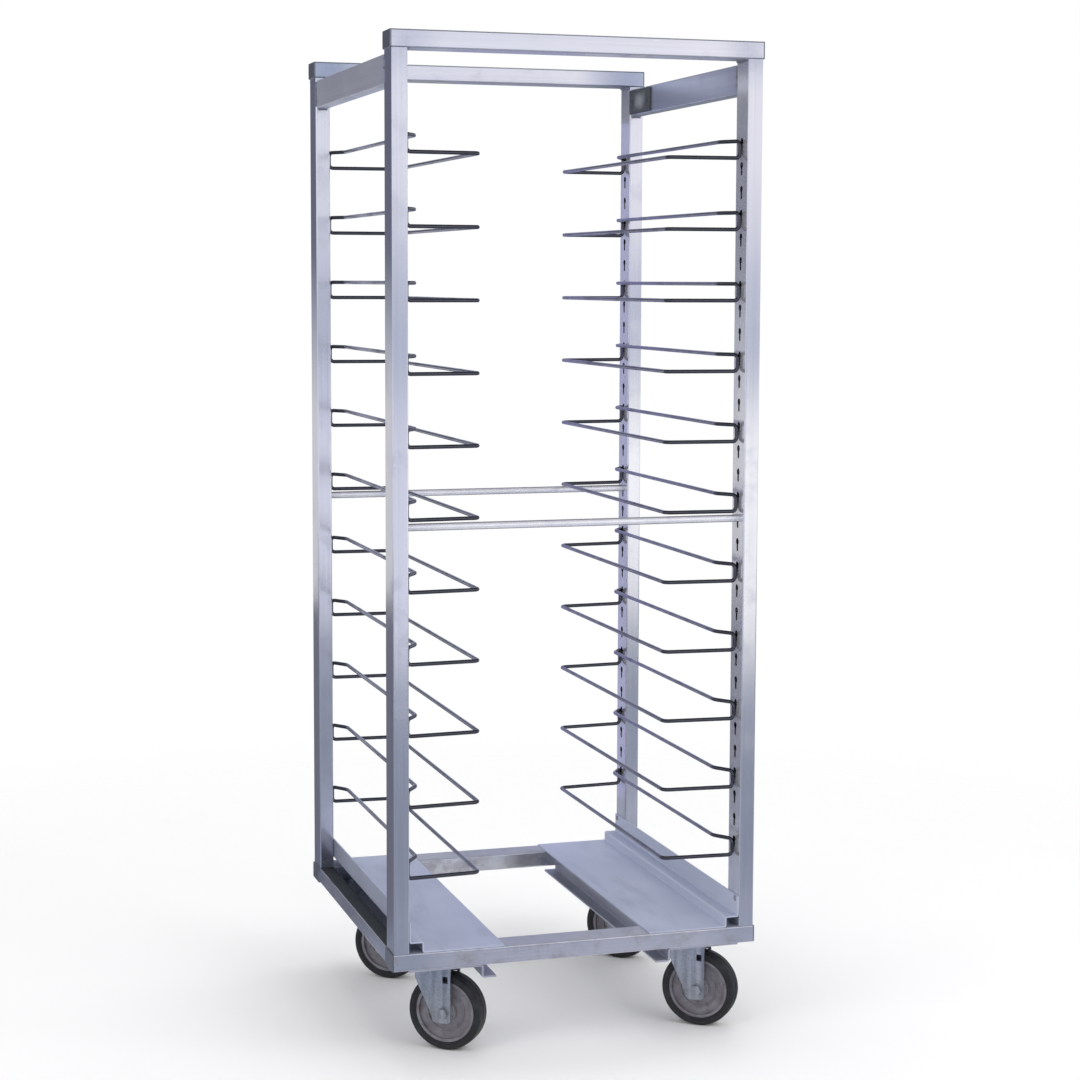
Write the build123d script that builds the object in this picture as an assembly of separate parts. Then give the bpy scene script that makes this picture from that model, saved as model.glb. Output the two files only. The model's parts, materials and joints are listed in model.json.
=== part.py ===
from build123d import *
import os

# A roll-in pan rack: an aluminium tube frame on four swivel casters, with pairs of wire slides
# that hook into keyhole slots in the posts. All sizes are in millimetres. The origin is on the
# floor under the middle of the rack, +Z is up, pans roll in from the front (-Y) and +X is the
# right-hand side seen from there.

# Frame, measured over the outer faces of the tubes
FRAME_WIDTH = 610.0
FRAME_DEPTH = 622.0
FRAME_HEIGHT = 1470.0  # underside of the base rails to the top of the top rails

# Rectangular tube
POST_WIDTH = 25.4
POST_DEPTH = 50.8
RAIL_HEIGHT = 28.0
SIDE_RAIL_HEIGHT = 48.0
SIDE_RAIL_INSET = 1.7  # top side rails stand back this far from both faces of the posts
SIDE_RAIL_DROP = 5.0  # their top edge below the underside of the top rails
TUBE_WALL = 2.0
TUBE_CORNER = 2.5
TUBE_INNER_CORNER = 0.6

# Plugs in the ends of the front and rear rails
CAP_THICKNESS = 2.5
CAP_PLUG_LENGTH = 14.0
CAP_CLEARANCE = 0.15
CAP_EDGE_RADIUS = 1.2

# Wire slides
WIRE_DIAMETER = 6.35
SLOT_PITCH = 38.1
SLOTS_PER_SLIDE = 3
LOWEST_SLIDE = 143.2  # lowest slide's rail above the underside of the base rails
SLIDE_HEADROOM = 70.0  # room kept between the highest slide's rail and the top side rails
SLIDE_RAIL_GAP = 308.0  # clear width between a facing pair of slide rails
ARM_TOE_IN = 8.0  # rail corners stand this far in from the legs, along the depth
LEG_RISE = 27.0
GUIDE_INSET = 21.5  # guide wire inboard of the legs
GUIDE_SETBACK = 32.0  # ends of the guide wire short of the legs, along the depth
ARM_BEND = 10.0
LEG_BEND = 7.0
GUIDE_BEND = 25.0
LEG_CLEARANCE = 0.3  # legs off the faces of the posts

# Headed studs on the legs and the keyholes that hold them
STUD_NECK = 5.6
STUD_HEAD = 10.0
STUD_HEAD_THICKNESS = 2.0
STUD_CLEARANCE = 0.3
STUD_HEAD_GAP = 0.4  # head behind the wall of the post
ENTRY_CLEARANCE = 0.6  # round end of the keyhole about the head
SLIDE_LIFT = 13.0  # from the foot of the keyhole to its round end

# Cross rods under the middle pair of slides
ROD_DIAMETER = 12.0
ROD_GAP = 2.0

# Floor pans of folded sheet
PAN_SHEET = 2.0
PAN_GAP = 246.0  # between the inner edges of the two pans
PAN_STEP_RISE = 16.0
PAN_SHELF_WIDTH = 23.4
PAN_FLANGE_RISE = 33.0
PAN_EDGE_INSET = 1.0
PAN_CLEARANCE = 0.2
SHEET_BEND = 1.5  # inner radius of every fold

# Dark plates inside the rear ends of the top side rails
BRACKET_LENGTH = 108.0
BRACKET_HEIGHT = 43.0
BRACKET_THICKNESS = 3.0
BRACKET_CORNER = 3.0
BRACKET_POST_GAP = 0.5
BRACKET_RIVET_EDGE = 16.0

# Blind rivets
RIVET_SHANK = 4.8
RIVET_HEAD = 9.6
RIVET_HEAD_RISE = 2.2
RIVET_LENGTH = 8.0
RIVET_CLEARANCE = 0.1
RIVET_FRONT_EDGE = 12.0  # pan rivets from the outer face of the post, along the depth
RIVET_DROP = 6.0  # pan rivets below the top of the flange

# Caster channels under the base
CHANNEL_SHEET = 3.0
CHANNEL_DROP = 22.0
CHANNEL_LIP = 24.0
CHANNEL_WEB_SETBACK = 60.0  # outer face of the web inboard of the kingpins
CHANNEL_FLANGE_REACH = 59.0  # edge of the top flange outboard of the kingpins
CHANNEL_END_INSET = 3.0

# Swivel casters
CASTER_INSET_X = 85.0  # kingpins from the outer faces of the frame
CASTER_INSET_Y = 108.0
CASTER_YAW = -37.0  # all four trail the same way
CASTER_TRAIL = 33.0
PLATE_LENGTH = 108.0
PLATE_WIDTH = 92.0
PLATE_THICKNESS = 4.0
PLATE_CORNER = 8.0
BOLT_SPACING_X = 64.0
BOLT_SPACING_Y = 80.0
RACE_DIAMETER = 62.0
RACE_DEPTH = 10.0
RACE_EDGE = 4.0
RACE_GAP = 0.5
KINGPIN_DIAMETER = 12.0
KINGPIN_HEAD = 21.0
KINGPIN_HEAD_RISE = 4.5
KINGPIN_CLEARANCE = 0.1
KINGPIN_HEAD_GAP = 0.4

# Caster forks
FORK_SHEET = 3.5
FORK_LEAD = 16.0  # front edge of the legs ahead of the kingpin
FORK_TAIL = 13.0  # rear edge of the legs behind the axle
FORK_NECK_DROP = 24.0
FORK_FOOT_LEAD = 19.0
FORK_FOOT_RISE = 6.0
FORK_FOOT_DROP = 17.0
FORK_NECK_BEND = 14.0
FORK_FOOT_BEND = 7.0
FORK_CROWN_DIAMETER = 64.0
FORK_SIDE_GAP = 3.0  # legs off the sides of the tyre
FORK_TOP_GAP = 12.0  # crown above the tyre
FORK_WINDOW_WIDTH = 9.0
FORK_WINDOW_HEIGHT = 11.0
FORK_WINDOW_EDGE = 4.5
FORK_WINDOW_DROP = 18.0

# Caster wheels
WHEEL_DIAMETER = 127.0
WHEEL_WIDTH = 32.0
HUB_DIAMETER = 101.0
HUB_RIM = 5.0
HUB_FACE_INSET = 2.0
HUB_WEB = 16.0
HUB_BOSS = 38.0
HUB_SIDE_GAP = 0.5
TYRE_SHOULDER = 5.0
BUSH_DIAMETER = 14.0
BUSH_CLEARANCE = 0.1
AXLE_DIAMETER = 10.0
AXLE_CLEARANCE = 0.1
AXLE_HEX = 16.0
AXLE_HEAD_RISE = 6.0
AXLE_NUT_RISE = 8.0
AXLE_TIP = 2.0

# Bolts that hold the caster plates to the channels
BOLT_DIAMETER = 8.0
BOLT_HEX = 13.0
BOLT_HEAD_RISE = 5.5
BOLT_NUT_RISE = 6.5
BOLT_TIP = 2.0
BOLT_CLEARANCE = 0.2

# Heights above the floor, built up from the wheel
AXLE_Z = WHEEL_DIAMETER / 2
CROWN_BOTTOM = WHEEL_DIAMETER + FORK_TOP_GAP
CROWN_TOP = CROWN_BOTTOM + FORK_SHEET
RACE_BOTTOM = CROWN_TOP + RACE_GAP
PLATE_BOTTOM = RACE_BOTTOM + RACE_DEPTH
PLATE_TOP = PLATE_BOTTOM + PLATE_THICKNESS
BASE_BOTTOM = PLATE_TOP + CHANNEL_SHEET
BASE_TOP = BASE_BOTTOM + RAIL_HEIGHT
BASE_MIDDLE = (BASE_BOTTOM + BASE_TOP) / 2
POST_TOP = BASE_BOTTOM + FRAME_HEIGHT - RAIL_HEIGHT
TOP_MIDDLE = POST_TOP + RAIL_HEIGHT / 2
SIDE_RAIL_TOP = POST_TOP - SIDE_RAIL_DROP
SIDE_RAIL_BOTTOM = SIDE_RAIL_TOP - SIDE_RAIL_HEIGHT
SIDE_RAIL_MIDDLE = (SIDE_RAIL_TOP + SIDE_RAIL_BOTTOM) / 2

# Places in plan, for the right-hand side and the rear
POST_X = (FRAME_WIDTH - POST_WIDTH) / 2
POST_Y = (FRAME_DEPTH - POST_DEPTH) / 2
POST_INNER = FRAME_WIDTH / 2 - POST_WIDTH
BAY_HALF_DEPTH = FRAME_DEPTH / 2 - POST_DEPTH
WIRE_RADIUS = WIRE_DIAMETER / 2
LEG_X = POST_INNER - LEG_CLEARANCE - WIRE_RADIUS
SLIDE_RAIL_X = SLIDE_RAIL_GAP / 2 + WIRE_RADIUS
CASTER_X = FRAME_WIDTH / 2 - CASTER_INSET_X
CASTER_Y = FRAME_DEPTH / 2 - CASTER_INSET_Y
SIDE_RAIL_WIDTH = POST_WIDTH - 2 * SIDE_RAIL_INSET
SIDE_RAIL_INNER = POST_INNER + SIDE_RAIL_INSET

# Slides: as many as fit between the floor pans and the top side rails
SLIDE_PITCH = SLOT_PITCH * SLOTS_PER_SLIDE
FIRST_SLIDE_Z = BASE_BOTTOM + LOWEST_SLIDE
SLIDE_ROOM = SIDE_RAIL_BOTTOM - SLIDE_HEADROOM - FIRST_SLIDE_Z
SLIDE_COUNT = 1 + int(SLIDE_ROOM / SLIDE_PITCH)
SLOT_COUNT = 1 + (SLIDE_COUNT - 1) * SLOTS_PER_SLIDE
STUD_RISE = LEG_RISE / 2
MIDDLE_SLIDE_Z = FIRST_SLIDE_Z + (SLIDE_COUNT // 2) * SLIDE_PITCH
ROD_Z = MIDDLE_SLIDE_Z - WIRE_RADIUS - ROD_GAP - ROD_DIAMETER / 2

# Pan heights and the rivets through the pan flanges
SHELF_BOTTOM = BASE_TOP + PAN_STEP_RISE
FLANGE_TOP = SHELF_BOTTOM + PAN_SHEET + PAN_FLANGE_RISE
FLANGE_OUTER = POST_INNER - PAN_CLEARANCE
FLANGE_INNER = FLANGE_OUTER - PAN_SHEET
PAN_RIVET_Y = FRAME_DEPTH / 2 - RIVET_FRONT_EDGE
PAN_RIVET_Z = FLANGE_TOP - RIVET_DROP

# Bracket place along the top side rail
BRACKET_Y = BAY_HALF_DEPTH - BRACKET_POST_GAP - BRACKET_LENGTH / 2
BRACKET_FACE = SIDE_RAIL_INNER - BRACKET_THICKNESS
BRACKET_RIVET_REACH = BRACKET_LENGTH / 2 - BRACKET_RIVET_EDGE
BRACKET_RIVETS_Y = [BRACKET_Y - BRACKET_RIVET_REACH, BRACKET_Y + BRACKET_RIVET_REACH]

# Widths across the caster fork
FORK_GAP = WHEEL_WIDTH + 2 * FORK_SIDE_GAP
FORK_WIDTH = FORK_GAP + 2 * FORK_SHEET

SIDES = {"left": -1, "right": 1}
ENDS = {"front": -1, "rear": 1}
UP = (Align.CENTER, Align.CENTER, Align.MIN)
DOWN = (Align.CENTER, Align.CENTER, Align.MAX)


def lying_x(x, y, z):
    """Plane at a point with its normal along +X, its first axis along +Y and its second up."""
    return Plane(origin=(x, y, z), x_dir=(0, 1, 0), z_dir=(1, 0, 0))


def to_side(shape, side):
    """The right-hand shape, or its mirror image for the left-hand side."""
    return mirror(shape, about=Plane.YZ) if side == "left" else shape


def to_end(shape, end):
    """The front shape, or its mirror image for the rear."""
    return mirror(shape, about=Plane.XZ) if end == "rear" else shape


def tube_section(across, up):
    """Hollow section of rectangular tube."""
    outer = RectangleRounded(across, up, TUBE_CORNER)
    inner = RectangleRounded(across - 2 * TUBE_WALL, up - 2 * TUBE_WALL, TUBE_INNER_CORNER)
    return outer - inner


def folded_sheet(corners, thickness, half_length):
    """Sheet folded along Y, lying on the left of a line of (x, z) corners on one of its faces."""
    radii = []
    for before, here, after in zip(corners, corners[1:], corners[2:]):
        first = Vector(here[0] - before[0], here[1] - before[1])
        second = Vector(after[0] - here[0], after[1] - here[1])
        turns_left = first.cross(second).Z > 0
        radii.append(SHEET_BEND + thickness if turns_left else SHEET_BEND)
    line = FilletPolyline(*corners, radius=radii)
    section = make_face(offset(line, amount=thickness, side=Side.LEFT).edges())
    return extrude(Plane.XZ * section, amount=half_length, both=True)


def hexagon(across_flats, height, align):
    """Hexagonal prism on the floor of its own frame, standing up or hanging down."""
    section = RegularPolygon(across_flats / 2, 6, major_radius=False)
    return extrude(section, amount=height if align == UP else -height)


def post():
    """Right-hand front post with its row of keyholes and the hole for the pan rivet."""
    body = extrude(tube_section(POST_WIDTH, POST_DEPTH), amount=POST_TOP - BASE_TOP)
    body = Pos(POST_X, -POST_Y, BASE_TOP) * body
    slot_radius = STUD_NECK / 2 + STUD_CLEARANCE
    entry_radius = STUD_HEAD / 2 + ENTRY_CLEARANCE
    keyhole = Circle(slot_radius) + Pos(0, SLIDE_LIFT) * Circle(entry_radius)
    keyhole += Pos(0, SLIDE_LIFT / 2) * Rectangle(2 * slot_radius, SLIDE_LIFT)
    keyhole_cut = extrude(keyhole, amount=-POST_WIDTH)
    rivet_cut = extrude(Circle(RIVET_SHANK / 2 + RIVET_CLEARANCE), amount=-POST_WIDTH)
    cuts = [lying_x(POST_X, -PAN_RIVET_Y, PAN_RIVET_Z) * rivet_cut]
    for number in range(SLOT_COUNT):
        height = FIRST_SLIDE_Z + STUD_RISE + number * SLOT_PITCH
        cuts.append(lying_x(POST_X, -POST_Y, height) * keyhole_cut)
    return body - cuts


def cross_rail():
    """Tube across the rack, centred on the origin: a top or base rail at the front or rear."""
    return extrude(Plane.YZ * tube_section(POST_DEPTH, RAIL_HEIGHT), amount=FRAME_WIDTH / 2, both=True)


def base_side_rail():
    """Right-hand base rail between the front and rear rails."""
    rail = extrude(Plane.XZ * tube_section(POST_WIDTH, RAIL_HEIGHT), amount=BAY_HALF_DEPTH, both=True)
    return Pos(POST_X, 0, BASE_MIDDLE) * rail


def top_side_rail():
    """Right-hand top rail between the posts, drilled for the bracket rivets."""
    section = tube_section(SIDE_RAIL_WIDTH, SIDE_RAIL_HEIGHT)
    rail = Pos(POST_X, 0, SIDE_RAIL_MIDDLE) * extrude(Plane.XZ * section, amount=BAY_HALF_DEPTH, both=True)
    rivet_cut = extrude(Circle(RIVET_SHANK / 2 + RIVET_CLEARANCE), amount=-SIDE_RAIL_WIDTH)
    return rail - [lying_x(POST_X, y, SIDE_RAIL_MIDDLE) * rivet_cut for y in BRACKET_RIVETS_Y]


def rail_cap():
    """Plug for the right-hand end of a rail that is centred on the origin."""
    end = lying_x(FRAME_WIDTH / 2, 0, 0)
    inset = 2 * (TUBE_WALL + CAP_CLEARANCE)
    face = extrude(end * RectangleRounded(POST_DEPTH, RAIL_HEIGHT, TUBE_CORNER), amount=CAP_THICKNESS)
    face = fillet(face.faces().sort_by(Axis.X)[-1].edges(), CAP_EDGE_RADIUS)
    plug = RectangleRounded(POST_DEPTH - inset, RAIL_HEIGHT - inset, TUBE_INNER_CORNER)
    return face + extrude(end * plug, amount=-CAP_PLUG_LENGTH)


def bracket():
    """Right-hand dark plate on the inner face of the top side rail, beside the rear post."""
    plate = RectangleRounded(BRACKET_LENGTH, BRACKET_HEIGHT, BRACKET_CORNER)
    for reach in (-BRACKET_RIVET_REACH, BRACKET_RIVET_REACH):
        plate -= Pos(reach, 0) * Circle(RIVET_SHANK / 2 + RIVET_CLEARANCE)
    return extrude(lying_x(BRACKET_FACE, BRACKET_Y, SIDE_RAIL_MIDDLE) * plate, amount=BRACKET_THICKNESS)


def rivet(x, y, z):
    """Rivet with its head on a face at x, towards the middle of the rack, and its shank along +X."""
    head = Cone(RIVET_SHANK / 2, RIVET_HEAD / 2, RIVET_HEAD_RISE, align=DOWN)
    return lying_x(x, y, z) * (head + Cylinder(RIVET_SHANK / 2, RIVET_LENGTH, align=UP))


def floor_pan():
    """Right-hand floor pan: deck, raised step and a flange up the inner faces of the posts."""
    riser = FLANGE_OUTER - PAN_SHELF_WIDTH + PAN_SHEET
    corners = [
        (PAN_GAP / 2, BASE_TOP),
        (riser, BASE_TOP),
        (riser, SHELF_BOTTOM),
        (FLANGE_OUTER, SHELF_BOTTOM),
        (FLANGE_OUTER, FLANGE_TOP),
    ]
    pan = folded_sheet(corners, PAN_SHEET, FRAME_DEPTH / 2 - PAN_EDGE_INSET)
    rivet_cut = extrude(Circle(RIVET_SHANK / 2 + RIVET_CLEARANCE), amount=PAN_SHELF_WIDTH / 2, both=True)
    return pan - [lying_x(FLANGE_INNER, end * PAN_RIVET_Y, PAN_RIVET_Z) * rivet_cut for end in ENDS.values()]


def bolt_places():
    """Plan positions of the bolts about a kingpin."""
    return GridLocations(BOLT_SPACING_X, BOLT_SPACING_Y, 2, 2)


def caster_channel():
    """Right-hand channel: top flange over the casters, web down its inner side and an inward lip."""
    web = CASTER_X - CHANNEL_WEB_SETBACK
    corners = [
        (web - CHANNEL_LIP, BASE_BOTTOM - CHANNEL_DROP),
        (web, BASE_BOTTOM - CHANNEL_DROP),
        (web, PLATE_TOP),
        (CASTER_X + CHANNEL_FLANGE_REACH, PLATE_TOP),
    ]
    channel = folded_sheet(corners, CHANNEL_SHEET, FRAME_DEPTH / 2 - CHANNEL_END_INSET)
    hole = Cylinder(BOLT_DIAMETER / 2 + BOLT_CLEARANCE, CHANNEL_SHEET, align=UP)
    for end in ENDS.values():
        channel -= [Pos(CASTER_X, end * CASTER_Y, PLATE_TOP) * place * hole for place in bolt_places()]
    return channel


def swivel_head():
    """Caster top plate with its pressed raceway, then the kingpin, about the kingpin's axis."""
    plate = RectangleRounded(PLATE_WIDTH, PLATE_LENGTH, PLATE_CORNER)
    plate -= bolt_places() * Circle(BOLT_DIAMETER / 2 + BOLT_CLEARANCE)
    race = Cylinder(RACE_DIAMETER / 2, RACE_DEPTH, align=UP)
    race = Pos(0, 0, RACE_BOTTOM) * chamfer(race.edges().group_by(Axis.Z)[0], RACE_EDGE)
    bore = Cylinder(KINGPIN_DIAMETER / 2 + KINGPIN_CLEARANCE, PLATE_TOP, align=UP)
    head = Pos(0, 0, PLATE_BOTTOM) * extrude(plate, amount=PLATE_THICKNESS) + race - bore
    under = CROWN_BOTTOM - KINGPIN_HEAD_GAP
    kingpin = Pos(0, 0, under) * Cylinder(KINGPIN_DIAMETER / 2, PLATE_TOP - under, align=UP)
    kingpin += Pos(0, 0, under) * Cone(KINGPIN_DIAMETER / 2, KINGPIN_HEAD / 2, KINGPIN_HEAD_RISE, align=DOWN)
    return [head, kingpin]


def plate_bolt():
    """Hexagon bolt up through the caster plate and the channel, then the nut on top."""
    reach = BASE_BOTTOM + BOLT_NUT_RISE + BOLT_TIP - PLATE_BOTTOM
    bolt = Pos(0, 0, PLATE_BOTTOM) * hexagon(BOLT_HEX, BOLT_HEAD_RISE, DOWN)
    bolt += Pos(0, 0, PLATE_BOTTOM) * Cylinder(BOLT_DIAMETER / 2, reach, align=UP)
    thread = Cylinder(BOLT_DIAMETER / 2 + BOLT_CLEARANCE, BOLT_NUT_RISE, align=UP)
    nut = Pos(0, 0, BASE_BOTTOM) * (hexagon(BOLT_HEX, BOLT_NUT_RISE, UP) - thread)
    return [bolt, nut]


def fork():
    """Caster fork about the kingpin, with +X the way it trails and the axle along Y."""
    tail = CASTER_TRAIL + FORK_TAIL
    outline = FilletPolyline(
        (tail, CROWN_TOP),
        (-FORK_LEAD, CROWN_TOP),
        (-FORK_LEAD, CROWN_TOP - FORK_NECK_DROP),
        (CASTER_TRAIL - FORK_FOOT_LEAD, AXLE_Z - FORK_FOOT_RISE),
        (CASTER_TRAIL - FORK_FOOT_LEAD, AXLE_Z - FORK_FOOT_DROP),
        (tail, AXLE_Z - FORK_FOOT_DROP),
        radius=[0, 0, FORK_NECK_BEND, 0, FORK_FOOT_BEND, FORK_FOOT_BEND],
        close=True,
    )
    window_x = tail - FORK_WINDOW_EDGE - FORK_WINDOW_WIDTH / 2
    window_z = CROWN_TOP - FORK_WINDOW_DROP - FORK_WINDOW_HEIGHT / 2
    side = make_face(outline.edges())
    side -= Pos(window_x, window_z) * Rectangle(FORK_WINDOW_WIDTH, FORK_WINDOW_HEIGHT)
    side -= Pos(CASTER_TRAIL, AXLE_Z) * Circle(AXLE_DIAMETER / 2 + AXLE_CLEARANCE)
    leg = Pos(0, -FORK_GAP / 2, 0) * extrude(Plane.XZ * side, amount=FORK_SHEET)
    top = Pos((tail - FORK_LEAD) / 2, 0) * Rectangle(tail + FORK_LEAD, FORK_WIDTH)
    top += Circle(FORK_CROWN_DIAMETER / 2)
    top -= Circle(KINGPIN_DIAMETER / 2 + KINGPIN_CLEARANCE)
    crown = Pos(0, 0, CROWN_BOTTOM) * extrude(top, amount=FORK_SHEET)
    return crown + leg + mirror(leg, about=Plane.XZ)


def on_axle(shape):
    """Move a round shape about Z to the axle, which lies along Y."""
    return Pos(CASTER_TRAIL, 0, AXLE_Z) * Rot(90, 0, 0) * shape


def axle_set():
    """Axle bolt, its nut and the bush that the wheel turns on."""
    half = FORK_WIDTH / 2
    bolt = Pos(0, 0, half) * hexagon(AXLE_HEX, AXLE_HEAD_RISE, UP)
    bolt += Pos(0, 0, half) * Cylinder(AXLE_DIAMETER / 2, FORK_WIDTH + AXLE_NUT_RISE + AXLE_TIP, align=DOWN)
    thread = Cylinder(AXLE_DIAMETER / 2 + AXLE_CLEARANCE, AXLE_NUT_RISE, align=DOWN)
    nut = Pos(0, 0, -half) * (hexagon(AXLE_HEX, AXLE_NUT_RISE, DOWN) - thread)
    bush = Cylinder(BUSH_DIAMETER / 2, FORK_GAP) - Cylinder(AXLE_DIAMETER / 2 + AXLE_CLEARANCE, FORK_GAP)
    return [on_axle(bolt), on_axle(nut), on_axle(bush)]


def hub():
    """Wheel centre: boss on the bush, thinner web and a rim under the tyre."""
    boss = FORK_GAP / 2 - HUB_SIDE_GAP
    rim = WHEEL_WIDTH / 2 - HUB_FACE_INSET
    half = [
        (BUSH_DIAMETER / 2 + BUSH_CLEARANCE, boss),
        (HUB_BOSS / 2, boss),
        (HUB_BOSS / 2, HUB_WEB / 2),
        (HUB_DIAMETER / 2 - HUB_RIM, HUB_WEB / 2),
        (HUB_DIAMETER / 2 - HUB_RIM, rim),
        (HUB_DIAMETER / 2, rim),
    ]
    other_half = [(radius, -height) for radius, height in reversed(half)]
    outline = Polyline(*half, *other_half, close=True)
    return on_axle(revolve(Plane.XZ * make_face(outline.edges()), axis=Axis.Z))


def tyre():
    """Ring of rubber on the hub, with rounded shoulders."""
    depth = (WHEEL_DIAMETER - HUB_DIAMETER) / 2
    section = Pos(HUB_DIAMETER / 2 + depth / 2, 0) * Rectangle(depth, WHEEL_WIDTH)
    section = fillet(section.vertices().group_by(Axis.X)[-1], TYRE_SHOULDER)
    return on_axle(revolve(Plane.XZ * section, axis=Axis.Z))


def slide():
    """Right-hand wire slide, with its rail at height zero."""
    corner_y = POST_Y - ARM_TOE_IN
    guide_x = LEG_X - GUIDE_INSET
    route = FilletPolyline(
        (SLIDE_RAIL_X, 0, 0),
        (SLIDE_RAIL_X, corner_y, 0),
        (LEG_X, POST_Y, 0),
        (LEG_X, POST_Y, LEG_RISE),
        (guide_x, POST_Y - GUIDE_SETBACK, LEG_RISE),
        (guide_x, 0, LEG_RISE),
        radius=[ARM_BEND, LEG_BEND, LEG_BEND, GUIDE_BEND],
    )
    half = sweep(Plane(route @ 0, z_dir=route % 0) * Circle(WIRE_RADIUS), path=route)
    head_x = POST_INNER + TUBE_WALL + STUD_HEAD_GAP
    stud = lying_x(LEG_X, POST_Y, STUD_RISE) * Cylinder(STUD_NECK / 2, head_x - LEG_X, align=UP)
    stud += lying_x(head_x, POST_Y, STUD_RISE) * Cylinder(STUD_HEAD / 2, STUD_HEAD_THICKNESS, align=UP)
    half += stud
    return half + mirror(half, about=Plane.XZ)


def cross_rod():
    """Rod across the rack between two posts, centred on the origin."""
    return extrude(Plane.YZ * Circle(ROD_DIAMETER / 2), amount=POST_INNER, both=True)


nodes = {}

# Frame
one_post = post()
one_rail = cross_rail()
for end, along in ENDS.items():
    for side in SIDES:
        nodes[f"post_{end}_{side}"] = [to_end(to_side(one_post, side), end)]
    nodes[f"top_rail_{end}"] = [Pos(0, along * POST_Y, TOP_MIDDLE) * one_rail]
    nodes[f"base_rail_{end}"] = [Pos(0, along * POST_Y, BASE_MIDDLE) * one_rail]
for side in SIDES:
    nodes[f"top_rail_{side}"] = [to_side(top_side_rail(), side)]
    nodes[f"base_rail_{side}"] = [to_side(base_side_rail(), side)]
    nodes[f"floor_pan_{side}"] = [to_side(floor_pan(), side)]
    nodes[f"caster_channel_{side}"] = [to_side(caster_channel(), side)]

# Small pieces of the frame, each kind in one group
caps = []
brackets = []
rivets = []
for side in SIDES:
    cap = to_side(rail_cap(), side)
    for along in ENDS.values():
        for height in (BASE_MIDDLE, TOP_MIDDLE):
            caps.append(Pos(0, along * POST_Y, height) * cap)
        rivets.append(to_side(rivet(FLANGE_INNER, along * PAN_RIVET_Y, PAN_RIVET_Z), side))
    brackets.append(to_side(bracket(), side))
    for rivet_y in BRACKET_RIVETS_Y:
        rivets.append(to_side(rivet(BRACKET_FACE, rivet_y, SIDE_RAIL_MIDDLE), side))
nodes["rail_end_caps"] = caps
nodes["top_rail_brackets"] = brackets
nodes["rivets"] = rivets
nodes["cross_rods"] = [Pos(0, along * POST_Y, ROD_Z) * cross_rod() for along in ENDS.values()]

# Casters
heads = []
bolts = []
for end, along in ENDS.items():
    for side, across in SIDES.items():
        kingpin_place = Pos(across * CASTER_X, along * CASTER_Y, 0)
        turned_place = kingpin_place * Rot(0, 0, CASTER_YAW)
        heads += [kingpin_place * piece for piece in swivel_head()]
        for bolt_place in bolt_places():
            bolts += [kingpin_place * bolt_place * piece for piece in plate_bolt()]
        nodes[f"caster_fork_{end}_{side}"] = [turned_place * fork()]
        nodes[f"caster_axle_{end}_{side}"] = [turned_place * piece for piece in axle_set()]
        nodes[f"caster_hub_{end}_{side}"] = [turned_place * hub()]
        nodes[f"caster_tyre_{end}_{side}"] = [turned_place * tyre()]
nodes["caster_swivel_heads"] = heads
nodes["caster_plate_bolts"] = bolts

# Slides, numbered from the lowest pair up
one_slide = slide()
for side in SIDES:
    sided_slide = to_side(one_slide, side)
    for number in range(SLIDE_COUNT):
        height = FIRST_SLIDE_Z + number * SLIDE_PITCH
        nodes[f"slide_{side}_{number + 1:02d}"] = [Pos(0, 0, height) * sided_slide]

os.makedirs("parts", exist_ok=True)
for name, pieces in nodes.items():
    solids = [solid for piece in pieces for solid in piece.solids()]
    export_step(Compound(children=solids), f"parts/{name}.step")

print(f"{len(nodes)} nodes, {SLIDE_COUNT} pairs of slides, {SLOT_COUNT} keyholes in each post")
print(f"floor to top: {POST_TOP + RAIL_HEIGHT:.1f} mm, axle height {AXLE_Z:.1f} mm")
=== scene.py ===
# %% [markdown]
# # A roll-in pan rack
# The rack is a welded frame of aluminium tube on four swivel casters. Wire slides hook into its posts and
# carry sheet pans, and two folded floor pans close its foot. Its solids come ready made, at their real size
# and in metres, so this lesson is about everything that makes them look real: brushed metal, plated wire,
# rubber, weld beads, light and the camera. The first cell loads the solids and keeps their box, to compare
# with the finished picture's box at the end.

# %% Load the solids
import json
import math

import bmesh
import bpy
from mathutils import Matrix, Vector


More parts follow.
